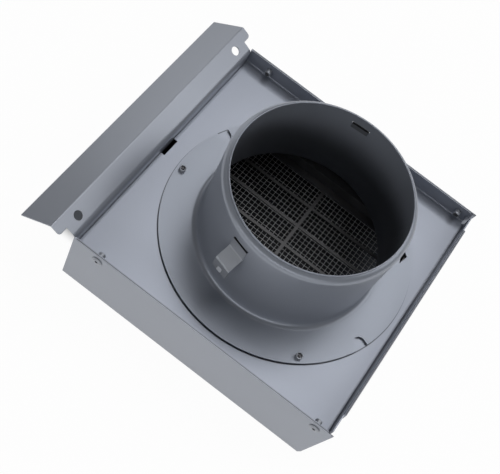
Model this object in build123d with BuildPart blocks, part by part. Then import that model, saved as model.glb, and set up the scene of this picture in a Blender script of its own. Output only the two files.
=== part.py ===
"""Square sheet metal wall hood with a round duct collar on its back.

The hood lies on its front panel with the collar pointing up. X runs from the
top flange to the open underside, Y from cheek to cheek, Z towards the wall.
The origin is on the collar's axis, in the plane of the front panel.
"""

import os
from math import cos, radians, sin, sqrt, tan

from build123d import *

os.makedirs("parts", exist_ok=True)

# Sheet and fits
sheet = 0.7
bend_inner = 0.8
fit_gap = 0.3
rivet_clearance = 0.05

# Hood
hood_half_width = 85.65
hood_depth = 49.6
top_front_x = -91.3
top_lean = 3.4
mouth_front_x = 76.3
mouth_rim_x = 81.9
mouth_corner_height = 5.0
mouth_corner_run = 1.6
wall_half_length = 84.2

# Top flange
flange_angle = 27.4
flange_bend_radius = 4.5
flange_bend_below_rim = 1.2
flange_width = 14.3
ridge_radius = 1.4
lip_angle = 34.1
lip_width = 23.0
lip_half_length = 90.35
lip_corner_radius = 1.8
tab_step = 6.0
screw_hole_radius = 2.85
screw_hole_spacing = 149.4
screw_hole_from_ridge = 6.7

# Back pan
plate_depth = 11.0
plate_notch_width = 12.8
plate_notch_offset = 0.4
plate_notch_depth = 2.6
mouth_wall_gap = 1.1
hem_gap = 0.3
hem_depth = 7.0
hem_end_setback = 11.5
hem_edge_share = 0.45
corner_relief = 1.6

# Collar
duct_outer_radius = 53.8
rim_outer_radius = 50.7
rim_lip_height = 1.0
shoulder_height = 3.5
collar_height = 64.3
foot_radius = 3.5
foot_strips = 2
disc_radius = 75.8
collar_hole_clearance = 0.6
notch_width = 7.5
notch_bottom_radius = 69.0
notch_angles = (-22.3, 156.4)
peep_hole = ((59.5, 39.5), (62.5, 37.4), (60.9, 30.6), (59.1, 35.3))

# Spring clips
clip_angles = (-106.0, 94.5)
clip_width = 10.6
clip_sheet = 0.5
clip_clearance = 0.1
clip_slit_below_rim = 9.5
clip_slit_height = 1.5
clip_flat = 8.5
clip_ramp_out = 7.2
clip_ramp_drop = 7.0
clip_lip = 8.1
clip_hook = 3.4
clip_crest_radius = 1.5
clip_knee_radius = 1.2
barb_width = 3.0
barb_height = 2.4
barb_out = 0.9

# Screen
screen_depth = 9.5
tray_half_x = 62.0
tray_half_y = 51.0
tray_corner = 8.0
tray_flange_half_x = 78.0
tray_flange_half_y = 72.0
window_half_x = 56.0
window_half_y = 46.0
bar_pitch = 15.6
bar_width = 1.9
cross_bar_width = 2.2
bay_rows = 6
rivet_window = 7.6
mesh_sheet = 0.6
mesh_margin = 3.0
mesh_wire = 1.4
mesh_columns = 4

# Rivets
rivet_shank_radius = 1.6
rivet_head_radius = 3.2
rivet_head_height = 0.9
rivet_blind_height = 3.6
cheek_rivet_x = 72.0
cheek_rivet_height = 5.5
disc_rivet_radius = 72.1
disc_rivet_angles = (-173.9, -52.2, 68.0)

# Derived places
plate_top = hood_depth - plate_depth
plate_bottom = plate_top - sheet
disc_top = plate_top + sheet
rim_top = plate_top + collar_height
cheek_inner = hood_half_width - sheet
pan_inner = cheek_inner - sheet
lean = tan(radians(top_lean))
wall_inner_front = top_front_x + sheet / cos(radians(top_lean))
flange_slope = radians(flange_angle)
lip_slope = radians(lip_angle)
elbow_z = hood_depth - flange_bend_below_rim
elbow_x = wall_inner_front + elbow_z * lean
ridge_x = elbow_x - flange_width * cos(flange_slope)
ridge_z = elbow_z + flange_width * sin(flange_slope)
lip_x = ridge_x - lip_width * cos(lip_slope)
lip_z = ridge_z - lip_width * sin(lip_slope)
tab_x = ridge_x + tab_step
plate_start_x = wall_inner_front + plate_bottom * lean + fit_gap
hem_thickness = 2 * sheet + hem_gap
mouth_wall_outer = mouth_rim_x - mouth_wall_gap
mouth_wall_inner = mouth_wall_outer - sheet
pan_hole_radius = duct_outer_radius + foot_radius + collar_hole_clearance
tray_top = plate_top - screen_depth + sheet
tray_bottom = plate_top - screen_depth


def hole_plane(side):
    """Plane of one screw hole, square to the sloping flange."""
    along = screw_hole_from_ridge
    x = ridge_x + along * cos(flange_slope)
    z = ridge_z - along * sin(flange_slope)
    y = side * screw_hole_spacing / 2
    return Plane(origin=(x, y, z), x_dir=(0, 1, 0), z_dir=(sin(flange_slope), 0, cos(flange_slope)))


def clip_plane(angle):
    """Upright plane through the collar's axis: x outwards, y up."""
    turn = radians(angle)
    return Plane(origin=(0, 0, 0), x_dir=(cos(turn), sin(turn), 0), z_dir=(sin(turn), -cos(turn), 0))


def cheek_rivet_planes(side):
    """Planes of the rivets in one cheek, on the cheek's outer face, facing outwards."""
    z = plate_top + cheek_rivet_height
    places = ((-cheek_rivet_x, side * hood_half_width, z), (cheek_rivet_x, side * hood_half_width, z))
    return [Plane(origin=place, x_dir=(1, 0, 0), z_dir=(0, side, 0)) for place in places]


def disc_rivet_places():
    """Places of the rivets in the disc, seen from above."""
    turns = [radians(angle) for angle in disc_rivet_angles]
    return [(disc_rivet_radius * cos(turn), disc_rivet_radius * sin(turn)) for turn in turns]


def disc_rivet_planes():
    """Planes of the rivets through disc and pan, on the pan's lower face, facing down."""
    return [Plane(origin=(x, y, plate_bottom), x_dir=(1, 0, 0), z_dir=(0, 0, -1)) for x, y in disc_rivet_places()]


def collar_profile():
    """Outer line of the collar's section: disc, foot as equal strips of an arc, wall, shoulder, lip."""
    foot_centre_r = duct_outer_radius + foot_radius
    foot_centre_z = disc_top + foot_radius
    points = [(disc_radius, disc_top)]
    for step in range(foot_strips + 1):
        turn = radians(90 * step / foot_strips)
        points.append((foot_centre_r - foot_radius * sin(turn), foot_centre_z - foot_radius * cos(turn)))
    points.append((duct_outer_radius, rim_top - rim_lip_height - shoulder_height))
    points.append((rim_outer_radius, rim_top - rim_lip_height))
    points.append((rim_outer_radius, rim_top))
    return points


# Channel of the hood: front panel and cheeks, cut to the side outline
with BuildPart() as channel:
    with BuildSketch(Plane.YZ.offset(top_front_x)) as channel_section:
        with BuildLine():
            FilletPolyline(
                (-cheek_inner, hood_depth),
                (-cheek_inner, sheet),
                (cheek_inner, sheet),
                (cheek_inner, hood_depth),
                radius=bend_inner,
            )
            offset(amount=sheet, side=Side.RIGHT, closed=True, kind=Kind.ARC)
        make_face()
    extrude(amount=mouth_rim_x - top_front_x)
    with BuildSketch(Plane.XZ.offset(-hood_half_width)) as side_outline:
        with BuildLine():
            Polyline(
                (top_front_x, 0),
                (mouth_front_x, 0),
                (mouth_front_x + mouth_corner_run, mouth_corner_height),
                (mouth_rim_x, hood_depth),
                (top_front_x + hood_depth * lean, hood_depth),
                close=True,
            )
        make_face()
    extrude(amount=2 * hood_half_width, mode=Mode.INTERSECT)
    with BuildSketch(Plane.XY) as bend_room:
        with Locations((top_front_x, 0)):
            Rectangle(4 * sheet, 2 * wall_half_length, align=(Align.MIN, Align.CENTER))
    extrude(amount=2 * sheet, mode=Mode.SUBTRACT)

# Fold of the hood: top wall, sloping flange, ridge and outer lip
with BuildPart() as fold:
    with BuildSketch(Plane.XZ.offset(-lip_half_length)) as fold_section:
        with BuildLine():
            FilletPolyline(
                (top_front_x + 10 * sheet, sheet),
                (wall_inner_front + sheet * lean, sheet),
                (elbow_x, elbow_z),
                (ridge_x, ridge_z),
                (lip_x, lip_z),
                radius=(bend_inner, flange_bend_radius, ridge_radius),
            )
            offset(amount=sheet, side=Side.LEFT, closed=True, kind=Kind.ARC)
        make_face()
    extrude(amount=2 * lip_half_length)
    with BuildSketch(Plane.XY) as fold_outline:
        with Locations((tab_x, 0)):
            Rectangle(tab_x - lip_x + 2 * sheet, 2 * lip_half_length, align=(Align.MAX, Align.CENTER))
        fillet(fold_outline.vertices(), lip_corner_radius)
        with Locations((tab_x - 2 * lip_corner_radius, 0)):
            Rectangle(hood_depth, 2 * wall_half_length, align=(Align.MIN, Align.CENTER))
    extrude(amount=2 * hood_depth, mode=Mode.INTERSECT)
    for side in (-1, 1):
        with BuildSketch(hole_plane(side).offset(-3 * sheet)) as screw_hole:
            Circle(screw_hole_radius)
        extrude(amount=6 * sheet, mode=Mode.SUBTRACT)

# Hood: channel and fold as the one sheet they are cut from, drilled for the cheek rivets
with BuildPart() as hood:
    add(channel.part)
    add(fold.part)
    for side in (-1, 1):
        for plane in cheek_rivet_planes(side):
            with BuildSketch(plane.offset(sheet)) as cheek_hole:
                Circle(rivet_shank_radius + rivet_clearance)
            extrude(amount=-3 * sheet, mode=Mode.SUBTRACT)
hood.part.label = "hood"
export_step(hood.part, "parts/hood.step")

# Back pan: plate with flanges turned up against the cheeks and a hemmed one along the mouth
with BuildPart() as back_pan:
    with BuildSketch(Plane.YZ.offset(plate_start_x)) as pan_section:
        with BuildLine():
            FilletPolyline(
                (-pan_inner, hood_depth),
                (-pan_inner, plate_top),
                (pan_inner, plate_top),
                (pan_inner, hood_depth),
                radius=bend_inner,
            )
            offset(amount=sheet, side=Side.RIGHT, closed=True, kind=Kind.ARC)
        make_face()
    extrude(amount=mouth_wall_inner - corner_relief - plate_start_x)
    mouth_wall_half = pan_inner - corner_relief
    with BuildSketch(Plane.XZ.offset(-mouth_wall_half)) as mouth_wall_section:
        with BuildLine():
            FilletPolyline(
                (mouth_wall_inner - 2 * corner_relief, plate_top),
                (mouth_wall_inner, plate_top),
                (mouth_wall_inner, hood_depth - sheet),
                radius=bend_inner,
            )
            offset(amount=sheet, side=Side.RIGHT, closed=True, kind=Kind.ARC)
        make_face()
    extrude(amount=2 * mouth_wall_half)
    with BuildSketch(Plane.XZ.offset(-mouth_wall_half + hem_end_setback)) as hem_section:
        with Locations((mouth_wall_inner, hood_depth)):
            Rectangle(hem_thickness, hem_depth, align=(Align.MIN, Align.MAX))
        fillet(hem_section.vertices().group_by(Axis.Z)[-1], hem_thickness * hem_edge_share)
        with Locations((mouth_wall_inner + sheet, hood_depth - sheet)):
            Rectangle(hem_gap, hem_depth, align=(Align.MIN, Align.MAX), mode=Mode.SUBTRACT)
    extrude(amount=2 * (mouth_wall_half - hem_end_setback))
    with BuildSketch(Plane.XY.offset(plate_bottom)) as plate_cuts:
        Circle(pan_hole_radius)
        with Locations((plate_start_x, plate_notch_offset)):
            Rectangle(2 * plate_notch_depth, plate_notch_width)
        with Locations(*disc_rivet_places()):
            Circle(rivet_shank_radius + rivet_clearance)
        with BuildLine():
            Polyline(*peep_hole, close=True)
        make_face()
    extrude(amount=sheet, mode=Mode.SUBTRACT)
    for side in (-1, 1):
        for plane in cheek_rivet_planes(side):
            with BuildSketch(plane.offset(-sheet)) as flange_hole:
                Circle(rivet_shank_radius + rivet_clearance)
            extrude(amount=-2 * sheet, mode=Mode.SUBTRACT)
back_pan.part.label = "back_pan"
export_step(back_pan.part, "parts/back_pan.step")

# Collar: tube with a drawn-in rim and a flared foot that runs out into a flat disc
with BuildPart() as collar:
    with BuildSketch(Plane.XZ) as collar_section:
        with BuildLine():
            Polyline(*collar_profile())
            offset(amount=sheet, side=Side.LEFT, closed=True, kind=Kind.INTERSECTION)
        make_face()
    revolve(axis=Axis.Z)
    with BuildSketch(Plane.XY.offset(plate_top)) as disc_cuts:
        for angle in notch_angles:
            with PolarLocations(notch_bottom_radius + notch_width / 2, 1, start_angle=angle):
                Circle(notch_width / 2)
                Rectangle(notch_width, notch_width, align=(Align.MIN, Align.CENTER))
        with Locations(*disc_rivet_places()):
            Circle(rivet_shank_radius + rivet_clearance)
        with BuildLine():
            Polyline(*peep_hole, close=True)
        make_face()
    extrude(amount=sheet, mode=Mode.SUBTRACT)
    for angle in clip_angles:
        with BuildSketch(clip_plane(angle).offset(-clip_width / 2 - fit_gap)) as slit:
            with Locations((duct_outer_radius, rim_top - clip_slit_below_rim)):
                Rectangle(4 * sheet, clip_slit_height, align=(Align.CENTER, Align.MAX))
        extrude(amount=clip_width + 2 * fit_gap, mode=Mode.SUBTRACT)
collar.part.label = "collar"
export_step(collar.part, "parts/collar.step")


def spring_clip(angle):
    """One leaf spring: hooked through the slit, flat along the duct, then sprung outwards."""
    outside = duct_outer_radius + clip_clearance + clip_sheet
    half_width = clip_width / 2
    wall_inner = sqrt((duct_outer_radius - sheet) ** 2 - half_width**2)
    inside = wall_inner - clip_clearance
    top = rim_top - clip_slit_below_rim - clip_slit_height + clip_clearance + clip_sheet
    crest = top - clip_flat
    knee = crest - clip_ramp_drop
    with BuildPart() as clip:
        with BuildSketch(clip_plane(angle).offset(-half_width)) as leaf:
            with BuildLine():
                FilletPolyline(
                    (inside, top - clip_hook),
                    (inside, top - clip_sheet),
                    (outside - clip_sheet, top - clip_sheet),
                    (outside - clip_sheet, crest),
                    (outside - clip_sheet + clip_ramp_out, knee),
                    (outside - clip_sheet + clip_ramp_out, knee - clip_lip),
                    radius=(0, 0, clip_crest_radius, clip_knee_radius),
                )
                offset(amount=clip_sheet, side=Side.LEFT, closed=True, kind=Kind.INTERSECTION)
            make_face()
        extrude(amount=clip_width)
        barb_top = knee - clip_lip / 2
        barb_root = outside + clip_ramp_out
        with BuildSketch(clip_plane(angle).offset(-barb_width / 2)) as barb:
            with BuildLine():
                Polyline(
                    (barb_root - clip_sheet / 2, barb_top),
                    (barb_root, barb_top),
                    (barb_root + barb_out, barb_top - barb_height),
                    (barb_root - clip_sheet / 2, barb_top - barb_height),
                    close=True,
                )
            make_face()
        extrude(amount=barb_width)
    return clip


spring_clip_lower = spring_clip(clip_angles[0])
spring_clip_lower.part.label = "spring_clip_lower"
export_step(spring_clip_lower.part, "parts/spring_clip_lower.step")

spring_clip_upper = spring_clip(clip_angles[1])
spring_clip_upper.part.label = "spring_clip_upper"
export_step(spring_clip_upper.part, "parts/spring_clip_upper.step")

# Screen tray: pressed tray under the duct opening, its floor punched into bays
with BuildPart() as screen_tray:
    with BuildSketch(Plane.XY.offset(tray_bottom)) as tray_outer:
        RectangleRounded(2 * tray_half_x, 2 * tray_half_y, tray_corner)
    extrude(amount=plate_bottom - tray_bottom)
    with BuildSketch(Plane.XY.offset(plate_bottom - sheet)) as tray_flange:
        Rectangle(2 * tray_flange_half_x, 2 * tray_flange_half_y)
    extrude(amount=sheet)
    with BuildSketch(Plane.XY.offset(tray_top)) as tray_inner:
        RectangleRounded(2 * (tray_half_x - sheet), 2 * (tray_half_y - sheet), tray_corner - sheet)
    extrude(amount=plate_bottom - tray_top, mode=Mode.SUBTRACT)
    with BuildSketch(Plane.XY.offset(tray_bottom)) as bays:
        bay_length = window_half_x - cross_bar_width / 2
        bay_x = (window_half_x + cross_bar_width / 2) / 2
        for bay in range(bay_rows):
            middle = (bay - (bay_rows - 1) / 2) * bar_pitch
            low = max(middle - (bar_pitch - bar_width) / 2, -window_half_y)
            high = min(middle + (bar_pitch - bar_width) / 2, window_half_y)
            with Locations((-bay_x, (low + high) / 2), (bay_x, (low + high) / 2)):
                Rectangle(bay_length, high - low)
    extrude(amount=sheet, mode=Mode.SUBTRACT)
    with BuildSketch(Plane.XY.offset(plate_bottom - sheet)) as rivet_windows:
        with Locations(*disc_rivet_places()):
            Rectangle(rivet_window, rivet_window)
    extrude(amount=sheet, mode=Mode.SUBTRACT)
screen_tray.part.label = "screen_tray"
export_step(screen_tray.part, "parts/screen_tray.step")

# Insect mesh: welded under the tray's floor, drawn as one wall with gaps in every bay
with BuildPart() as insect_mesh:
    mesh_half_x = window_half_x + mesh_margin
    mesh_half_y = window_half_y + mesh_margin / 2
    with BuildSketch(Plane.XY.offset(tray_bottom - mesh_sheet)) as mesh_panel:
        Rectangle(2 * mesh_half_x, 2 * mesh_half_y)
        gap_pitch_x = 2 * window_half_x / mesh_columns
        gap_pitch_y = 2 * window_half_y / bay_rows
        with GridLocations(gap_pitch_x, gap_pitch_y, mesh_columns, bay_rows):
            Rectangle(gap_pitch_x - mesh_wire, gap_pitch_y - mesh_wire, mode=Mode.SUBTRACT)
    extrude(amount=mesh_sheet)
insect_mesh.part.label = "insect_mesh"
export_step(insect_mesh.part, "parts/insect_mesh.step")


def set_rivets(planes):
    """Blind rivets through two sheets: head on each plane, shank and blind end beyond the sheets."""
    with BuildPart() as rivets:
        for plane in planes:
            with BuildSketch(plane) as head:
                Circle(rivet_head_radius)
            extrude(amount=rivet_head_height)
            with BuildSketch(plane) as shank:
                Circle(rivet_shank_radius)
            extrude(amount=-2 * sheet - rivet_blind_height)
    return rivets


cheek_rivets_left = set_rivets(cheek_rivet_planes(-1))
cheek_rivets_left.part.label = "cheek_rivets_left"
export_step(cheek_rivets_left.part, "parts/cheek_rivets_left.step")

cheek_rivets_right = set_rivets(cheek_rivet_planes(1))
cheek_rivets_right.part.label = "cheek_rivets_right"
export_step(cheek_rivets_right.part, "parts/cheek_rivets_right.step")

disc_rivets = set_rivets(disc_rivet_planes())
disc_rivets.part.label = "disc_rivets"
export_step(disc_rivets.part, "parts/disc_rivets.step")
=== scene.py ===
"""Looks of a sheet metal duct vent cover: powder coat, bare steel, woven screen, studio and camera.

Sizes and places are in metres, in the part's own frame. Angles round the collar are in degrees from X,
and other angles in radians.
"""

import logging
from dataclasses import dataclass
from enum import Enum
from typing import Any, Iterable, Mapping, Optional, Sequence, Union

import bpy
import numpy as np
from mathutils import Matrix, Vector


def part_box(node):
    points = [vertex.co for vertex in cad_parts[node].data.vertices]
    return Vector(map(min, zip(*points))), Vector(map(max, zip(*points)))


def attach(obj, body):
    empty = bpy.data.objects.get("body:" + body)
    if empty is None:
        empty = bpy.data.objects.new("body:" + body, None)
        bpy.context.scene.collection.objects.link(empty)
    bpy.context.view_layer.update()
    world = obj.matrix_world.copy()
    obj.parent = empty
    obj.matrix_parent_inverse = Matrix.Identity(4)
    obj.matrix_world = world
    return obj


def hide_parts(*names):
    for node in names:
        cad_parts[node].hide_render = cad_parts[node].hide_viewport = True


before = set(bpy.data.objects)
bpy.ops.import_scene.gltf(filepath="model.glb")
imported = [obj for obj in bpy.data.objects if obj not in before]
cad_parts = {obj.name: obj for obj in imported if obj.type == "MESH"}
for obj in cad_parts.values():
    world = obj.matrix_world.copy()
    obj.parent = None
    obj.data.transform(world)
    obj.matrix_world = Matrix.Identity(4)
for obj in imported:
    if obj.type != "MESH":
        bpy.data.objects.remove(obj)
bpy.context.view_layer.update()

log = logging.getLogger("vent_cover")

Colour = tuple[float, float, float]
Place = tuple[float, float, float]
Span = tuple[float, float]
Band = tuple[float, float, float, float]
Shape = tuple[np.ndarray, list]
Value = Union[float, "Signal"]
DarkPlaces = Sequence[tuple["Signal", float]]

ORIGIN: Place = (0.0, 0.0, 0.0)
ALONG_X: Place = (1.0, 0.0, 0.0)
UP: Place = (0.0, 0.0, 1.0)
DOWN: Place = (0.0, 0.0, -1.0)
WHITE = (1.0, 1.0, 1.0, 1.0)


# Shader helpers


class Operation(Enum):
    """What the Math nodes do here."""

    ADD = "ADD"
    SUBTRACT = "SUBTRACT"
    MULTIPLY = "MULTIPLY"
    LARGER = "MAXIMUM"
    SIZE = "ABSOLUTE"
    ROOT = "SQRT"


class Ray(Enum):
    """Kinds of ray that see the white background instead of what is lit."""

    CAMERA = "Is Camera Ray"
    MIRRORED = "Is Glossy Ray"
    THROUGH = "Is Transmission Ray"


class Signal:
    """A shader socket that can be used in Python arithmetic."""

    def __init__(self, graph: "Graph", socket: bpy.types.NodeSocket) -> None:
        """Keep the graph that new Math nodes go into, and the socket."""
        self.graph = graph
        self.socket = socket

    def _math(self, operation: Operation, *values: Value) -> "Signal":
        """Add one Math node.

        Args:
            operation: What the node does.
            values: The node's inputs, in order.

        Returns:
            The node's output.
        """
        settings = {"operation": operation.value}
        return self.graph.node("ShaderNodeMath", settings, dict(enumerate(values)))

    def __add__(self, other: Value) -> "Signal":
        """Sum of two signals."""
        return self._math(Operation.ADD, self, other)

    def __radd__(self, other: Value) -> "Signal":
        """Sum with a number on the left."""
        return self._math(Operation.ADD, other, self)

    def __sub__(self, other: Value) -> "Signal":
        """Difference of two signals."""
        return self._math(Operation.SUBTRACT, self, other)

    def __rsub__(self, other: Value) -> "Signal":
        """Difference from a number on the left."""
        return self._math(Operation.SUBTRACT, other, self)

    def __mul__(self, other: Value) -> "Signal":
        """Product of two signals."""
        return self._math(Operation.MULTIPLY, self, other)

    def __rmul__(self, other: Value) -> "Signal":
        """Product with a number on the left."""
        return self._math(Operation.MULTIPLY, other, self)

    def __abs__(self) -> "Signal":
        """The signal without its sign."""
        return self._math(Operation.SIZE, self)

    def root(self) -> "Signal":
        """Square root of the signal."""
        return self._math(Operation.ROOT, self)

    def larger(self, other: Value) -> "Signal":
        """The larger of two signals."""
        return self._math(Operation.LARGER, self, other)

    def fade(self, start: float, end: float) -> "Signal":
        """Smooth step from 0 at start to 1 at end.

        Args:
            start: Value where the result is 0.
            end: Value where the result is 1.

        Returns:
            The faded signal, held between 0 and 1.
        """
        settings = {"interpolation_type": "SMOOTHSTEP"}
        inputs = {"Value": self, "From Min": start, "From Max": end, "To Min": 0.0, "To Max": 1.0}
        return self.graph.node("ShaderNodeMapRange", settings, inputs)

    def band(self, start: float, full: float, falling: float, end: float) -> "Signal":
        """Smooth band: 0 up to start, 1 from full to falling, and 0 again past end.

        Args:
            start: Value where the band begins.
            full: Value where it reaches 1.
            falling: Value where it starts to fall.
            end: Value where it is over.

        Returns:
            The band, held between 0 and 1.
        """
        return self.fade(start, full) * (1.0 - self.fade(falling, end))


class Graph:
    """The node tree of one material, or of the world."""

    def __init__(self, owner: Union[bpy.types.Material, bpy.types.World]) -> None:
        """Switch the owner's nodes on and empty its tree.

        Args:
            owner: The material or world that the nodes belong to.
        """
        owner.use_nodes = True
        self.owner = owner
        self.tree = owner.node_tree
        self.tree.nodes.clear()

    def node(
        self,
        kind: str,
        settings: Optional[Mapping[str, Any]] = None,
        inputs: Optional[Mapping[Union[str, int], Any]] = None,
        output: Union[str, int] = 0,
    ) -> Signal:
        """Add any node.

        Args:
            kind: Blender's type name of the node.
            settings: Attributes that are set first, such as an operation.
            inputs: Values or signals for its sockets, by name or number.
            output: Which output to return.

        Returns:
            The chosen output as a signal, or the first input of a node that has no output.
        """
        made = self.tree.nodes.new(kind)
        for key, value in (settings or {}).items():
            setattr(made, key, value)
        for key, value in (inputs or {}).items():
            if isinstance(value, Signal):
                self.tree.links.new(value.socket, made.inputs[key])
            else:
                made.inputs[key].default_value = value
        return Signal(self, made.outputs[output] if len(made.outputs) else made.inputs[0])

    def place(self) -> Signal:
        """Object coordinates, in metres, which are also the part's own coordinates."""
        return self.node("ShaderNodeTexCoord", output="Object")

    def axis(self, name: str) -> Signal:
        """One coordinate of the surface point: X, Y or Z."""
        return self.node("ShaderNodeSeparateXYZ", inputs={0: self.place()}, output=name)

    def radius(self) -> Signal:
        """Distance of the surface point from the collar's axis, the root of x * x + y * y."""
        x, y = self.axis("X"), self.axis("Y")
        return (x * x + y * y).root()

    def seen_by(self, ray: Ray) -> Signal:
        """1 for one kind of ray and 0 for the others."""
        return self.node("ShaderNodeLightPath", output=ray.value)

    def noise(self, scale: float, detail: float, roughness: float = 0.5) -> Signal:
        """Noise from 0 to 1.

        Args:
            scale: Number of lumps in a metre.
            detail: Number of finer layers.
            roughness: Weight of the finer layers.

        Returns:
            The noise value.
        """
        inputs = {"Vector": self.place(), "Scale": scale, "Detail": detail, "Roughness": roughness}
        return self.node("ShaderNodeTexNoise", inputs=inputs)

    def blend(self, share: Value, low: Any, high: Any) -> Signal:
        """Mix two colours.

        Args:
            share: 0 gives low and 1 gives high.
            low: Colour or signal.
            high: Colour or signal.

        Returns:
            The mixed colour.
        """
        settings = {"data_type": "RGBA", "blend_type": "MIX"}
        sides = [(*side, 1.0) if isinstance(side, tuple) else side for side in (low, high)]
        return self.node("ShaderNodeMix", settings, {0: share, 6: sides[0], 7: sides[1]}, 2)

    def bump(self, height: Signal, depth: float, strength: float) -> Signal:
        """Surface normal bent by a height.

        Args:
            height: Height from 0 to 1.
            depth: What a height of 1 stands for, in metres.
            strength: Share of the bend that is used.

        Returns:
            The bent normal.
        """
        inputs = {"Height": height, "Distance": depth, "Strength": strength}
        return self.node("ShaderNodeBump", inputs=inputs)

    def surface(self, **sockets: Any) -> bpy.types.Material:
        """Finish the material with a Principled shader.

        Args:
            sockets: Values by socket name, with an underscore for a space.

        Returns:
            The finished material.
        """
        inputs = {name.replace("_", " "): value for name, value in sockets.items()}
        shader = self.node("ShaderNodeBsdfPrincipled", inputs=inputs)
        self.node("ShaderNodeOutputMaterial", inputs={"Surface": shader})
        return self.owner


# Finishes


def shaded(colour: Colour, share: float) -> Colour:
    """A colour times a share, held at 1."""
    return tuple(min(1.0, channel * share) for channel in colour)


@dataclass(frozen=True)
class PowderCoat:
    """Satin powder coat with metal flake and a faint orange peel."""

    piece: str
    colour: Colour
    roughness: float = 0.30
    metallic: float = 0.36
    tone_share: float = 0.04
    cloud_scale: float = 14.0
    cloud_detail: float = 3.0
    cloud_share: float = 0.7
    speck_scale: float = 2600.0
    speck_detail: float = 1.0
    roughness_spread: float = 0.08
    peel_scale: float = 700.0
    peel_detail: float = 2.0
    peel_fineness: float = 0.45
    peel_depth: float = 0.00002
    peel_strength: float = 0.5

    def dark_places(self, graph: Graph) -> DarkPlaces:
        """Places where the coat is darkened by painted shade, or at cut edges and narrow joints, in the
        order they are laid on.

        Args:
            graph: The material's node tree, which the plain coat does not use.

        Returns:
            For each place a mask of 1 and 0, and the share of the colour that is left there. The
            plain coat has none.
        """
        return ()

    def build(self) -> bpy.types.Material:
        """Make the coat's material.

        Returns:
            The finished material.
        """
        graph = Graph(bpy.data.materials.new(f"powder_coat_{self.piece}"))
        cloud = graph.noise(self.cloud_scale, self.cloud_detail)
        speck = graph.noise(self.speck_scale, self.speck_detail)
        mottle = cloud * self.cloud_share + speck * (1.0 - self.cloud_share)
        darker = shaded(self.colour, 1.0 - self.tone_share)
        paler = shaded(self.colour, 1.0 + self.tone_share)
        colour = graph.blend(mottle, darker, paler)
        for mask, share in self.dark_places(graph):
            colour = graph.blend(mask, colour, shaded(self.colour, share))
        peel = graph.noise(self.peel_scale, self.peel_detail, self.peel_fineness)
        return graph.surface(
            Base_Color=colour,
            Roughness=self.roughness + (cloud - 0.5) * self.roughness_spread,
            Metallic=self.metallic,
            Normal=graph.bump(peel, self.peel_depth, self.peel_strength),
        )


@dataclass(frozen=True)
class RimmedCoat(PowderCoat):
    """Coat on the hood and the pan, whose rims at one height show cut edges and dark joints."""

    rim_z: Span = (0.04915, 0.0493)
    past_flange_x: Span = (-0.0875, -0.0865)
    edge_share: float = 0.75
    cheek_joint: Band = (0.08475, 0.08485, 0.08510, 0.08520)
    hem_joint: Band = (0.08075, 0.08085, 0.08115, 0.08125)
    joint_share: float = 0.12

    def rims(self, graph: Graph) -> DarkPlaces:
        """Cut edges, and the joints in them: between cheek and pan, and in the middle of the hem.

        Args:
            graph: The material's node tree.

        Returns:
            The two masks, each with the share of the colour that is left there.
        """
        edge = graph.axis("Z").fade(*self.rim_z) * graph.axis("X").fade(*self.past_flange_x)
        beside_cheek = abs(graph.axis("Y")).band(*self.cheek_joint)
        in_hem = graph.axis("X").band(*self.hem_joint)
        return [(edge, self.edge_share), (edge * beside_cheek.larger(in_hem), self.joint_share)]


@dataclass(frozen=True)
class HoodCoat(RimmedCoat):
    """The hood's coat, with painted shade on the inside that is lighter near the open underside."""

    painted_shade_share: float = 0.06
    cheek_y: Span = (0.08515, 0.0855)
    below_plate_z: Span = (0.034, 0.038)
    above_panel_z: Span = (0.0002, 0.0005)
    top_wall_x: Span = (-0.0911, -0.0907)
    top_wall_lean: float = 0.0594
    opening_fade_x: Span = (0.030, 0.078)
    opening_light_share: float = 0.8

    def dark_places(self, graph: Graph) -> DarkPlaces:
        """Painted shade on the inside of the hood, and its rims.

        Args:
            graph: The material's node tree.

        Returns:
            Masks, each with the share of the colour that is left there.
        """
        x, y, z = (graph.axis(name) for name in "XYZ")
        between_cheeks = 1.0 - abs(y).fade(*self.cheek_y)
        below_plate = 1.0 - z.fade(*self.below_plate_z)
        above_panel = z.fade(*self.above_panel_z)
        past_top_wall = (x - z * self.top_wall_lean).fade(*self.top_wall_x)
        far_from_opening = 1.0 - self.opening_light_share * x.fade(*self.opening_fade_x)
        # Painted shade over the hood's inner faces, lighter towards the open underside.
        inside = between_cheeks * below_plate * above_panel * past_top_wall * far_from_opening
        return [(inside, self.painted_shade_share), *self.rims(graph)]


@dataclass(frozen=True)
class PanCoat(RimmedCoat):
    """The pan's coat, with painted shade in the fold along the hem, a painted shadow round the disc and
    painted shade beside its hole.
    """

    painted_shade_share: float = 0.1
    fold_x: Span = (0.0785, 0.0795)
    fold_z: Span = (0.0435, 0.0485)
    fold_depth: float = 0.45
    plate_z: Span = (0.0390, 0.0395)
    disc_edge_shadow: Band = (0.0756, 0.0757, 0.0762, 0.0765)
    disc_edge_shadow_depth: float = 0.75
    hole_x: Band = (0.0570, 0.0575, 0.0640, 0.0645)
    hole_y: Band = (0.0285, 0.0290, 0.0410, 0.0415)

    def dark_places(self, graph: Graph) -> DarkPlaces:
        """Painted shade in the fold, a painted shadow round the disc's edge, painted shade on what the
        disc hides by its hole, and the rims.

        Args:
            graph: The material's node tree.

        Returns:
            Masks, each with the share of the colour that is left there.
        """
        x, y, z = (graph.axis(name) for name in "XYZ")
        plate = 1.0 - z.fade(*self.plate_z)
        # Painted shade in the fold, a painted shadow round the disc's raised edge, and painted shade on
        # the plate under the peep hole.
        fold = self.fold_depth * x.fade(*self.fold_x) * (1.0 - z.fade(*self.fold_z))
        disc_shadow = self.disc_edge_shadow_depth * plate * graph.radius().band(*self.disc_edge_shadow)
        peep_hole_shade = plate * x.band(*self.hole_x) * y.band(*self.hole_y)
        return [(fold.larger(disc_shadow).larger(peep_hole_shade), self.painted_shade_share), *self.rims(graph)]


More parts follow.
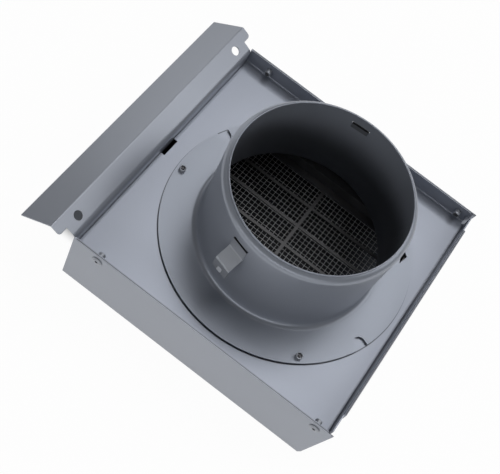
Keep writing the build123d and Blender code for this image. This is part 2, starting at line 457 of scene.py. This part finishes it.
@dataclass(frozen=True)
class CollarCoat(PowderCoat):
    """The collar's coat, with painted shade inside the tube, the darker the deeper."""

    painted_shade_share: float = 0.5
    wall_radius: Span = (0.05335, 0.0536)
    deep_z: Span = (0.060, 0.1015)

    def dark_places(self, graph: Graph) -> DarkPlaces:
        """Painted shade on the tube's inner side, nearer to the axis than the middle of its wall.

        Args:
            graph: The material's node tree.

        Returns:
            The mask, with the share of the colour that is left there.
        """
        # Painted shade on the tube's inner side, darker the deeper.
        inner_side = 1.0 - graph.radius().fade(*self.wall_radius)
        deep = 1.0 - graph.axis("Z").fade(*self.deep_z)
        return [(inner_side * deep, self.painted_shade_share)]


@dataclass(frozen=True)
class ClipCoat(PowderCoat):
    """The spring clips' coat, with painted shade on the hook inside the tube and at the bend in the slit.
    """

    painted_shade_share: float = 0.06
    hook_radius: Span = (0.0530, 0.0533)
    hook_depth: float = 0.55
    bend_z: Span = (0.09225, 0.0924)

    def dark_places(self, graph: Graph) -> DarkPlaces:
        """Painted shade on the hook and the bend.

        Args:
            graph: The material's node tree.

        Returns:
            The mask, with the share of the colour that is left there.
        """
        # Painted shade on the hook inside the tube and on the bend in the slit.
        hook = self.hook_depth * (1.0 - graph.radius().fade(*self.hook_radius))
        return [(hook.larger(graph.axis("Z").fade(*self.bend_z)), self.painted_shade_share)]


@dataclass(frozen=True)
class BareSteel:
    """Uncoated sheet or wire with drawn scratches and dull patches."""

    name: str
    colour: Colour
    roughness: float = 0.4
    metallic: float = 0.85
    dull_share: float = 0.78
    patch_scale: float = 60.0
    patch_detail: float = 4.0
    patch_range: Span = (0.35, 0.7)
    roughness_spread: float = 0.15
    scratch_scale: float = 900.0
    scratch_detail: float = 1.0
    scratch_depth: float = 0.00002
    scratch_strength: float = 0.4

    def build(self) -> bpy.types.Material:
        """Make the steel's material.

        Returns:
            The finished material.
        """
        graph = Graph(bpy.data.materials.new(self.name))
        patch = graph.noise(self.patch_scale, self.patch_detail)
        scratch = graph.noise(self.scratch_scale, self.scratch_detail)
        dull = shaded(self.colour, self.dull_share)
        return graph.surface(
            Base_Color=graph.blend(patch.fade(*self.patch_range), dull, self.colour),
            Roughness=self.roughness + patch * self.roughness_spread,
            Metallic=self.metallic,
            Normal=graph.bump(scratch, self.scratch_depth, self.scratch_strength),
        )


# Mesh helpers


def plain_object(name: str, points: np.ndarray, faces: Sequence[Sequence[int]]) -> bpy.types.Object:
    """Make an undressed object from points and faces, at the origin.

    Args:
        name: Name of the object and its mesh.
        points: Array of n by 3, in metres.
        faces: Lists of point numbers.

    Returns:
        The new object.
    """
    mesh = bpy.data.meshes.new(name)
    mesh.from_pydata(points.tolist(), [], faces)
    mesh.validate()
    made = bpy.data.objects.new(name, mesh)
    bpy.context.scene.collection.objects.link(made)
    return made


@dataclass(frozen=True)
class Axes:
    """Place of a turned or cut shape: its origin, and the directions of its own x, y and z."""

    origin: np.ndarray
    x: np.ndarray
    y: np.ndarray
    z: np.ndarray

    @classmethod
    def along(cls, origin: Sequence[float], z: Sequence[float], x: Sequence[float]) -> "Axes":
        """Axes from an origin, the z direction and the x direction, which is square to it."""
        z_way, x_way = np.array(z, float), np.array(x, float)
        return cls(np.array(origin, float), x_way, np.cross(z_way, x_way), z_way)

    def place(self, local: np.ndarray) -> np.ndarray:
        """Points of the part from rows of local x, y and z."""
        return self.origin + local @ np.stack([self.x, self.y, self.z])


def level_way(degrees: float) -> np.ndarray:
    """Level direction at an angle from X."""
    return np.array([np.cos(np.radians(degrees)), np.sin(np.radians(degrees)), 0.0])


def circle(radius: float, steps: int) -> np.ndarray:
    """Rows of x and y on a circle, at equal angles from X."""
    angle = 2 * np.pi * np.arange(steps) / steps
    return radius * np.column_stack([np.cos(angle), np.sin(angle)])


def turned(section: np.ndarray, sides: int, axes: Axes, closed: bool) -> Shape:
    """Surface of revolution: a section's point (r, h) goes to (r cos a, r sin a, h) for each angle a.

    Args:
        section: Rows of radius and height, with the solid on the left of the path.
        sides: Number of angles.
        axes: Place of the shape, which turns about their z.
        closed: Whether the section is a loop. An open one gets a flat cap at each end.

    Returns:
        Points and faces.
    """
    angle = 2 * np.pi * np.arange(sides) / sides
    r, h = section[:, 0], section[:, 1]
    grid = np.empty((sides, len(section), 3))
    grid[..., 0] = np.cos(angle)[:, None] * r
    grid[..., 1] = np.sin(angle)[:, None] * r
    grid[..., 2] = h
    number = np.arange(grid.shape[0] * grid.shape[1]).reshape(grid.shape[:2])
    beside = np.roll(number, -1, axis=0)
    faces = np.stack([number, beside, np.roll(beside, -1, axis=1), np.roll(number, -1, axis=1)], axis=-1)
    rows = faces if closed else faces[:, :-1]
    listed = rows.reshape(-1, 4).tolist()
    if not closed:
        listed += [number[::-1, 0].tolist(), number[:, -1].tolist()]
    return axes.place(grid.reshape(-1, 3)), listed


def prism(outline: np.ndarray, low: float, high: float, axes: Axes) -> Shape:
    """Straight block: the outline's points (x, y) stand once at z = low and once at z = high.

    Args:
        outline: Rows of x and y, counterclockwise.
        low: Lower end along the axes' z.
        high: Upper end.
        axes: Place of the shape.

    Returns:
        Points and faces.
    """
    count = len(outline)
    level = np.repeat([low, high], count)[:, None]
    points = np.hstack([np.vstack([outline, outline]), level])
    near = np.arange(count)
    after = np.roll(near, -1)
    sides = np.stack([near, after, after + count, near + count], axis=-1).tolist()
    return axes.place(points), sides + [near[::-1].tolist(), (near + count).tolist()]


def joined(shapes: Iterable[Shape]) -> Shape:
    """Put several shapes' points and faces into one list each.

    Args:
        shapes: Points and faces of each shape.

    Returns:
        All points and all faces.
    """
    points: list[np.ndarray] = []
    faces: list[list[int]] = []
    total = 0
    for shape_points, shape_faces in shapes:
        faces += [[number + total for number in face] for face in shape_faces]
        points.append(shape_points)
        total += len(shape_points)
    return np.concatenate(points), faces


def smooth(piece: bpy.types.Object) -> None:
    """Shade every face of a piece smooth."""
    polygons = piece.data.polygons
    polygons.foreach_set("use_smooth", np.full(len(polygons), True))


def cut(piece: bpy.types.Object, points: np.ndarray, faces: Sequence[Sequence[int]]) -> None:
    """Cut blocks out of a piece.

    Args:
        piece: The piece, whose mesh is replaced by the cut one.
        points: Points of the blocks.
        faces: Faces of the blocks.
    """
    blocks = plain_object("blocks", points, faces)
    knife = piece.modifiers.new("cut", "BOOLEAN")
    knife.operation = "DIFFERENCE"
    knife.solver = "EXACT"
    knife.object = blocks
    bpy.context.view_layer.update()
    done = bpy.data.meshes.new_from_object(piece.evaluated_get(bpy.context.evaluated_depsgraph_get()))
    piece.modifiers.clear()
    piece.data = done
    bpy.data.objects.remove(blocks)


def new_piece(
    name: str,
    points: np.ndarray,
    faces: Sequence[Sequence[int]],
    material: bpy.types.Material,
    slot: str,
    stands_for: Sequence[str],
) -> bpy.types.Object:
    """Make a piece of the object from points and faces, at the origin.

    Args:
        name: Name of the piece.
        points: Array of n by 3, in metres.
        faces: Lists of point numbers.
        material: The piece's material.
        slot: The record's material slot. Not used.
        stands_for: CAD nodes that the piece replaces.

    Returns:
        The new object.
    """
    piece = plain_object(name, points, faces)
    piece.data.materials.append(material)
    smooth(piece)
    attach(piece, "root")
    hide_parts(*stands_for)
    log.info("%s: %d points, %d faces", name, len(points), len(faces))
    return piece


def dress(node: str, material: bpy.types.Material) -> None:
    """Give a CAD node its material.

    Args:
        node: Name of the node.
        material: Its finish.
    """
    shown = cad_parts[node]
    shown.data.materials.clear()
    shown.data.materials.append(material)
    log.info("%s wears %s", node, material.name)


# Sub-assemblies


@dataclass
class PaintedSheet:
    """Hood, pan and spring clips, all coated after they were formed."""

    hood: PowderCoat = HoodCoat("hood", (0.325, 0.350, 0.404))
    pan: PowderCoat = PanCoat("pan", (0.305, 0.330, 0.390))
    clip: PowderCoat = ClipCoat("clip", (0.30, 0.32, 0.36), roughness=0.32)

    def build(self) -> None:
        """Dress the painted nodes."""
        dress("hood", self.hood.build())
        dress("back_pan", self.pan.build())
        clip = self.clip.build()
        dress("spring_clip_lower", clip)
        dress("spring_clip_upper", clip)


@dataclass(frozen=True)
class DiscRivets:
    """Places of the rivets that hold the collar's disc: a circle, and an angle for each rivet."""

    circle_radius: float = 0.0721
    angles: tuple[float, float, float] = (-173.9, -52.2, 68.0)

    def middles(self) -> list[np.ndarray]:
        """Each rivet's middle, at height 0."""
        return [self.circle_radius * level_way(degrees) for degrees in self.angles]


@dataclass
class Collar:
    """Duct collar: tube with a drawn-in rim and a foot that flares out into a flat disc."""

    sheet: float = 0.0007
    duct_radius: float = 0.0538
    rim_radius: float = 0.0507
    lip_height: float = 0.0010
    shoulder_height: float = 0.0042
    shoulder_turn: float = 1.25
    foot_radius: float = 0.0038
    disc_gap: float = 0.0010
    disc_rings: int = 6
    foot_steps: int = 14
    wall_rings: int = 12
    shoulder_steps: int = 14
    nose_steps: int = 6
    sides: int = 288
    notch_width: float = 0.0075
    notch_bottom: float = 0.0690
    notch_angles: tuple[float, float] = (-22.3, 156.4)
    notch_arc_steps: int = 16
    peep_hole: tuple[Span, ...] = ((0.0595, 0.0395), (0.0591, 0.0353), (0.0609, 0.0306), (0.0625, 0.0374))
    rivets: DiscRivets = DiscRivets()
    rivet_hole: float = 0.00165
    slit_angles: tuple[float, float] = (-106.0, 94.5)
    slit_half_width: float = 0.0056
    slit_below_rim: float = 0.0098
    slit_height: float = 0.0012
    sharp_edge: float = 0.6
    coat: PowderCoat = CollarCoat("collar", (0.306, 0.333, 0.390), roughness=0.36)

    def outer_line(self, disc_radius: float, disc_top: float, rim_top: float) -> np.ndarray:
        """Outer side of the sheet, from the disc's edge to the rim, as rows of radius and height.

        The disc is level, and the foot a quarter circle: r = duct + foot - foot * sin(a) and
        h = disc top + foot - foot * cos(a). The wall is upright, and the shoulder a part of an
        ellipse that ends in a crease under the lip: r = duct - (duct - rim) * (1 - cos(t)) /
        (1 - cos(turn)) while h climbs by its height * sin(t) / sin(turn), for t from 0 to turn.

        Args:
            disc_radius: Radius of the disc.
            disc_top: Height of the disc's upper side.
            rim_top: Height of the rim.

        Returns:
            The points of the line.
        """
        foot_start = self.duct_radius + self.foot_radius
        disc_r = np.linspace(disc_radius, foot_start, self.disc_rings)
        a = np.linspace(0, np.pi / 2, self.foot_steps + 1)[1:]
        foot_r = foot_start - self.foot_radius * np.sin(a)
        foot_h = disc_top + self.foot_radius * (1 - np.cos(a))
        shoulder_low = rim_top - self.lip_height - self.shoulder_height
        wall_h = np.linspace(foot_h[-1], shoulder_low, self.wall_rings)[1:]
        t = np.linspace(0, self.shoulder_turn, self.shoulder_steps + 1)[1:]
        inwards = (1 - np.cos(t)) / (1 - np.cos(self.shoulder_turn))
        shoulder_r = self.duct_radius - (self.duct_radius - self.rim_radius) * inwards
        shoulder_h = shoulder_low + self.shoulder_height * np.sin(t) / np.sin(self.shoulder_turn)
        wall_r = np.full_like(wall_h, self.duct_radius)
        disc_h = np.full_like(disc_r, disc_top)
        r = np.concatenate([disc_r, foot_r, wall_r, shoulder_r, [self.rim_radius]])
        h = np.concatenate([disc_h, foot_h, wall_h, shoulder_h, [rim_top]])
        return np.column_stack([r, h])

    def section(self, disc_radius: float, disc_top: float, rim_top: float) -> np.ndarray:
        """Closed section of the sheet.

        It is the outer line, a half circle over the rim, and the outer line moved inwards by
        the sheet's thickness along its normals.

        Args:
            disc_radius: Radius of the disc.
            disc_top: Height of the disc's upper side.
            rim_top: Height of the rim.

        Returns:
            Rows of radius and height, a closed loop.
        """
        outer = self.outer_line(disc_radius, disc_top, rim_top)
        run = np.concatenate([[0.0], np.cumsum(np.linalg.norm(np.diff(outer, axis=0), axis=1))])
        way = np.gradient(outer, run, axis=0)
        way /= np.linalg.norm(way, axis=1)[:, None]
        inner = outer + self.sheet * np.column_stack([-way[:, 1], way[:, 0]])
        half = self.sheet / 2
        outer[-1, 1] -= half
        inner[-1, 1] -= half
        a = np.linspace(0, np.pi, self.nose_steps + 1)[1:-1]
        nose = outer[-1] + np.column_stack([half * (np.cos(a) - 1), half * np.sin(a)])
        return np.concatenate([outer, nose, inner[::-1]])

    def notch(self, degrees: float, high: float) -> Shape:
        """Block for a notch in the disc: a half circle that opens outwards between two straight sides.

        The sides go on past the disc's edge.

        Args:
            degrees: Angle of the notch's middle from X.
            high: Height of the block's upper end.

        Returns:
            Points and faces of the block.
        """
        half = self.notch_width / 2
        a = np.linspace(np.pi / 2, 3 * np.pi / 2, self.notch_arc_steps + 1)
        bow = np.column_stack([self.notch_bottom + half + half * np.cos(a), half * np.sin(a)])
        tip = self.notch_bottom + 2 * self.notch_width
        outline = np.vstack([bow, [[tip, -half], [tip, half]]])
        return prism(outline, 0.0, high, Axes.along(ORIGIN, UP, level_way(degrees)))

    def slit(self, degrees: float, top: float) -> Shape:
        """Block for a clip's slit in the wall, twice as deep to each side as the sheet.

        Args:
            degrees: Angle of the slit's middle from X.
            top: Height of the slit's upper end.

        Returns:
            Points and faces of the block.
        """
        middle = self.duct_radius - self.sheet / 2
        near, far, half = middle - 2 * self.sheet, middle + 2 * self.sheet, self.slit_half_width
        outline = np.array([[near, -half], [far, -half], [far, half], [near, half]])
        return prism(outline, top - self.slit_height, top, Axes.along(ORIGIN, UP, level_way(degrees)))

    def openings(self, rim_top: float) -> Iterable[Shape]:
        """Blocks that are cut out: two notches, the peep hole, three rivet holes and two slits.

        Args:
            rim_top: Height of the rim.

        Yields:
            Points and faces of one block.
        """
        past_disc = rim_top / 2
        for degrees in self.notch_angles:
            yield self.notch(degrees, past_disc)
        yield prism(np.array(self.peep_hole), 0.0, past_disc, Axes.along(ORIGIN, UP, ALONG_X))
        hole = circle(self.rivet_hole, 2 * self.notch_arc_steps)
        for middle in self.rivets.middles():
            yield prism(hole, 0.0, past_disc, Axes.along(middle, UP, ALONG_X))
        for degrees in self.slit_angles:
            yield self.slit(degrees, rim_top - self.slit_below_rim)

    def build(self) -> None:
        """Turn the collar, cut its openings and put it in the plain collar's place."""
        low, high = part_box("collar")
        disc_top = low.z + self.disc_gap + self.sheet
        section = self.section(high.x, disc_top, high.z)
        points, faces = turned(section, self.sides, Axes.along(ORIGIN, UP, ALONG_X), closed=True)
        coat = self.coat.build()
        piece = new_piece("duct_collar_sheet", points, faces, coat, "collar_paint", ["collar"])
        cut(piece, *joined(self.openings(high.z)))
        smooth(piece)
        piece.data.set_sharp_from_angle(angle=self.sharp_edge)


@dataclass
class Screen:
    """Punched tray, and the woven wire cloth that lies against the underside of its floor."""

    wire_radius: float = 0.00014
    pitch_x: float = 0.002865
    pitch_y: float = 0.00285
    half_x: float = 0.0585
    half_y: float = 0.0470
    stations_per_cross: int = 2
    sides: int = 6
    tray: BareSteel = BareSteel("tray_steel", (0.17, 0.17, 0.175), roughness=0.5, metallic=0.3)
    wire: BareSteel = BareSteel(
        "mesh_wire", (0.74, 0.75, 0.77), roughness=0.5, metallic=0.3, scratch_scale=3000.0
    )

    def wires(
        self, along: float, across: float, pitch_along: float, pitch_across: float, phase: float
    ) -> tuple[np.ndarray, np.ndarray, np.ndarray]:
        """Parallel wires that weave up and down.

        Wire i lies at v_i = (i - (n - 1) / 2) * pitch_across. Its centre is
        (u, v_i, r * cos(pi * u / pitch_along + pi * i + phase)), and a ring of
        points of radius r stands round it, square to the path.

        Args:
            along: Half length of a wire.
            across: Half width of the cloth.
            pitch_along: Distance between the wires that it crosses.
            pitch_across: Distance between these wires.
            phase: Shift of the wave.

        Returns:
            Points as (u, v, w) rows, side faces and end faces.
        """
        count = int(across / pitch_across) * 2 + 1
        steps = int(2 * along / pitch_along * self.stations_per_cross) + 1
        u = np.linspace(-along, along, steps)
        i = np.arange(count)
        v = (i - (count - 1) / 2) * pitch_across
        wave = np.pi * u[None, :] / pitch_along + np.pi * i[:, None] + phase
        rise = self.wire_radius * np.cos(wave)
        slope = -self.wire_radius * np.pi / pitch_along * np.sin(wave)
        length = np.sqrt(1 + slope**2)
        turn = 2 * np.pi * np.arange(self.sides) / self.sides
        side, lift = np.cos(turn) * self.wire_radius, np.sin(turn) * self.wire_radius
        grid = np.empty((count, steps, self.sides, 3))
        grid[..., 0] = u[None, :, None] - (slope / length)[..., None] * lift
        grid[..., 1] = v[:, None, None] + side
        grid[..., 2] = rise[..., None] + lift / length[..., None]
        number = np.arange(count * steps * self.sides).reshape(count, steps, self.sides)
        after = np.roll(number, -1, axis=2)
        walls = np.stack([number[:, :-1], number[:, 1:], after[:, 1:], after[:, :-1]], axis=-1)
        ends = np.concatenate([number[:, 0, :], number[:, -1, ::-1]])
        return grid.reshape(-1, 3), walls.reshape(-1, 4), ends

    def build(self) -> None:
        """Dress the tray and weave the wire cloth in place of the plain panel."""
        dress("screen_tray", self.tray.build())
        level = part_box("insect_mesh")[1].z - 2 * self.wire_radius
        half_x, half_y, pitch_x, pitch_y = self.half_x, self.half_y, self.pitch_x, self.pitch_y
        a_points, a_walls, a_ends = self.wires(half_x, half_y, pitch_x, pitch_y, 0.0)
        b_points, b_walls, b_ends = self.wires(half_y, half_x, pitch_y, pitch_x, np.pi)
        b_points = b_points[:, [1, 0, 2]]
        b_walls = b_walls[:, ::-1]
        b_ends = b_ends[:, ::-1]
        points = np.concatenate([a_points, b_points]) + np.array([0.0, 0.0, level])
        shift = len(a_points)
        faces = np.concatenate([a_walls, b_walls + shift]).tolist()
        faces += np.concatenate([a_ends, b_ends + shift]).tolist()
        new_piece("woven_insect_mesh", points, faces, self.wire.build(), "mesh_wire", ["insect_mesh"])


@dataclass
class Rivets:
    """Blind rivets: domed head, swollen blind end with a hollow, and the broken mandrel."""

    shank: float = 0.0016
    bore: float = 0.00095
    head: float = 0.0032
    head_height: float = 0.0009
    blind: float = 0.0020
    blind_height: float = 0.0036
    stock: float = 0.0014
    hollow: float = 0.00155
    hollow_depth: float = 0.0016
    edge: float = 0.0002
    mandrel: float = 0.0009
    broken_end: float = 0.0002
    dome_steps: int = 6
    sides: int = 32
    sharp_edge: float = 0.7
    cheek_x: float = 0.0720
    cheek_above_plate: float = 0.0055
    disc_rivets: DiscRivets = DiscRivets()
    sleeve_coat: PowderCoat = PowderCoat("rivet", (0.33, 0.35, 0.39), roughness=0.36)
    mandrel_steel: BareSteel = BareSteel("rivet_mandrel", (0.16, 0.16, 0.17), roughness=0.5)

    def sleeve_section(self) -> np.ndarray:
        """Section of a rivet's body, from the bore over the blind end and shank to the head.

        The head's dome is a quarter ellipse: r = bore + (head - bore) * cos(a) and
        h = edge + (head height - edge) * sin(a).

        Returns:
            Rows of radius and height, a closed loop, with height 0 where the head sits.
        """
        back = -self.stock - self.blind_height
        a = np.linspace(0, np.pi / 2, self.dome_steps)
        dome_r = self.bore + (self.head - self.bore) * np.cos(a)
        dome_h = self.edge + (self.head_height - self.edge) * np.sin(a)
        blind_end = [
            (self.bore, back + self.hollow_depth),
            (self.hollow, back + self.hollow_depth),
            (self.hollow, back),
            (self.blind - self.edge, back),
            (self.blind, back + self.edge),
            (self.blind, -self.stock - self.edge),
            (self.shank, -self.stock),
            (self.shank, 0.0),
            (self.head, 0.0),
        ]
        return np.vstack([blind_end, np.column_stack([dome_r, dome_h])])

    def mandrel_section(self) -> np.ndarray:
        """Section of the mandrel that stays in the body, from its blind end to the broken one.

        Returns:
            Rows of radius and height, an open path that is capped at both ends.
        """
        back = -self.stock - self.blind_height + self.edge
        tip = self.mandrel - self.edge
        return np.array([
            (self.edge / 2, back),
            (tip, back),
            (self.mandrel, back + self.edge),
            (self.mandrel, self.broken_end),
            (self.edge / 2, self.broken_end),
        ])

    def places(self) -> Mapping[str, Sequence[Axes]]:
        """Where the heads sit, with z out of the head.

        Returns:
            The places of each group of rivets, by the name of its node.
        """
        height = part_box("collar")[0].z + self.cheek_above_plate
        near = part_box("cheek_rivets_left")[0].y + self.head_height
        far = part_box("cheek_rivets_right")[1].y - self.head_height
        under = np.array([0.0, 0.0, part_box("disc_rivets")[0].z + self.head_height])
        on_disc = [under + middle for middle in self.disc_rivets.middles()]
        along = (-self.cheek_x, self.cheek_x)
        return {
            "cheek_rivets_left": [Axes.along((x, near, height), (0, -1, 0), ALONG_X) for x in along],
            "cheek_rivets_right": [Axes.along((x, far, height), (0, 1, 0), ALONG_X) for x in along],
            "disc_rivets": [Axes.along(place, DOWN, ALONG_X) for place in on_disc],
        }

    def build(self) -> None:
        """Turn each group's bodies and mandrels."""
        coat, steel = self.sleeve_coat.build(), self.mandrel_steel.build()
        body, bar = self.sleeve_section(), self.mandrel_section()
        for group, spots in self.places().items():
            bodies = joined(turned(body, self.sides, spot, closed=True) for spot in spots)
            bars = joined(turned(bar, self.sides, spot, closed=False) for spot in spots)
            for kind, shape, finish in (("bodies", bodies, coat), ("mandrels", bars, steel)):
                piece = new_piece(f"{group}_{kind}", *shape, finish, "rivet_metal", [group])
                piece.data.set_sharp_from_angle(angle=self.sharp_edge)


# Studio


@dataclass(frozen=True)
class Lamp:
    """Soft light: a lit rectangle that faces the part."""

    name: str
    place: Place
    power: float
    size: Span

    def hang(self, target: Vector) -> None:
        """Hang the lamp in the scene.

        Args:
            target: Point that it faces.
        """
        light = bpy.data.lights.new(self.name, "AREA")
        light.shape = "RECTANGLE"
        light.size, light.size_y = self.size
        light.energy = self.power
        lamp = bpy.data.objects.new(self.name, light)
        lamp.location = self.place
        lamp.rotation_euler = (target - Vector(self.place)).to_track_quat("-Z", "Y").to_euler()
        bpy.context.scene.collection.objects.link(lamp)


@dataclass
class Studio:
    """White floor, dim surround, four soft lights, and the camera."""

    floor_half: float = 3.0
    floor_glow: float = 0.97
    floor_tone: Colour = (0.93, 0.93, 0.93)
    shade_tone: Colour = (0.35, 0.37, 0.40)
    shade_x: Band = (-0.131, -0.125, -0.085, -0.079)
    shade_y: Span = (0.058, 0.070)
    surround: float = 0.06
    surround_tint: Colour = (1.0, 0.97, 0.92)
    lamps: tuple[Lamp, ...] = (
        Lamp("key", (-0.03, 0.60, 1.6), 10.2, (0.8, 1.3)),
        Lamp("fill", (0.1, -1.8, 0.70), 14.5, (4.0, 0.32)),
        Lamp("side", (1.10, 0.82, 1.15), 7.5, (1.1, 1.1)),
        Lamp("rear", (-1.5, 0.95, 0.58), 2.6, (0.6, 0.6)),
    )
    lamp_target: Place = (0.0, 0.0, 0.04)
    camera_place: Place = (0.0120, -0.2720, 0.5001)
    camera_right: Place = (0.7955, 0.5494, 0.2556)
    camera_down: Place = (0.6034, -0.6798, -0.4169)
    sensor_width: float = 36.0
    lens: float = 66.98
    clip: Span = (0.01, 20.0)

    def floor(self) -> None:
        """Lay the white floor, which the camera sees as nearly white with a faint shadow.

        Under the flange it is seen as it is lit, because the screw hole looks down on its shade, and its
        colour there is darkened to a painted shadow.
        """
        graph = Graph(bpy.data.materials.new("floor_white"))
        beside = 1.0 - abs(graph.axis("Y")).fade(*self.shade_y)
        under = graph.axis("X").band(*self.shade_x) * beside
        seen = graph.seen_by(Ray.CAMERA)
        for ray in (Ray.MIRRORED, Ray.THROUGH):
            seen = seen.larger(graph.seen_by(ray))
        share = seen * self.floor_glow * (1.0 - under)
        # Painted shadow: the floor's colour is darkened under the flange.
        tone = graph.blend(under, self.floor_tone, self.shade_tone)
        paper = graph.node("ShaderNodeBsdfDiffuse", inputs={"Color": tone})
        glow = graph.node("ShaderNodeEmission", inputs={"Color": WHITE, "Strength": 1.0})
        mixed = graph.node("ShaderNodeMixShader", inputs={0: share, 1: paper, 2: glow})
        graph.node("ShaderNodeOutputMaterial", inputs={"Surface": mixed})
        h = self.floor_half
        corners = np.array([(-h, -h, 0.0), (h, -h, 0.0), (h, h, 0.0), (-h, h, 0.0)])
        floor = plain_object("floor", corners, [(0, 1, 2, 3)])
        floor.data.materials.append(graph.owner)

    def world(self) -> None:
        """Surround the scene with dim light that the camera sees as white."""
        world = bpy.data.worlds.new("surround")
        bpy.context.scene.world = world
        graph = Graph(world)
        tint = (*self.surround_tint, 1.0)
        dim = graph.node("ShaderNodeBackground", inputs={"Color": tint, "Strength": self.surround})
        white = graph.node("ShaderNodeBackground", inputs={"Color": WHITE, "Strength": 1.0})
        seen = graph.seen_by(Ray.CAMERA)
        mixed = graph.node("ShaderNodeMixShader", inputs={0: seen, 1: dim, 2: white})
        graph.node("ShaderNodeOutputWorld", inputs={"Surface": mixed})

    def camera(self) -> None:
        """Set up the camera where the photograph was taken from."""
        right = Vector(self.camera_right).normalized()
        up = -Vector(self.camera_down)
        up = (up - right * up.dot(right)).normalized()
        back = right.cross(up)
        turn = Matrix((right, up, back)).transposed().to_4x4()
        data = bpy.data.cameras.new("camera")
        data.sensor_width = self.sensor_width
        data.lens = self.lens
        data.clip_start, data.clip_end = self.clip
        camera = bpy.data.objects.new("camera", data)
        camera.matrix_world = Matrix.Translation(self.camera_place) @ turn
        bpy.context.scene.collection.objects.link(camera)
        bpy.context.scene.camera = camera

    def build(self) -> None:
        """Build the whole studio."""
        self.floor()
        self.world()
        for lamp in self.lamps:
            lamp.hang(Vector(self.lamp_target))
        self.camera()
        bpy.context.scene.view_settings.view_transform = "Standard"
        log.info("studio ready")


def main() -> None:
    """Build every sub-assembly in order."""
    logging.basicConfig(level=logging.INFO, format="%(name)s: %(message)s")
    for part in (PaintedSheet(), Collar(), Screen(), Rivets(), Studio()):
        part.build()
        log.info("%s done", type(part).__name__)


if __name__ == "__main__":
    main()
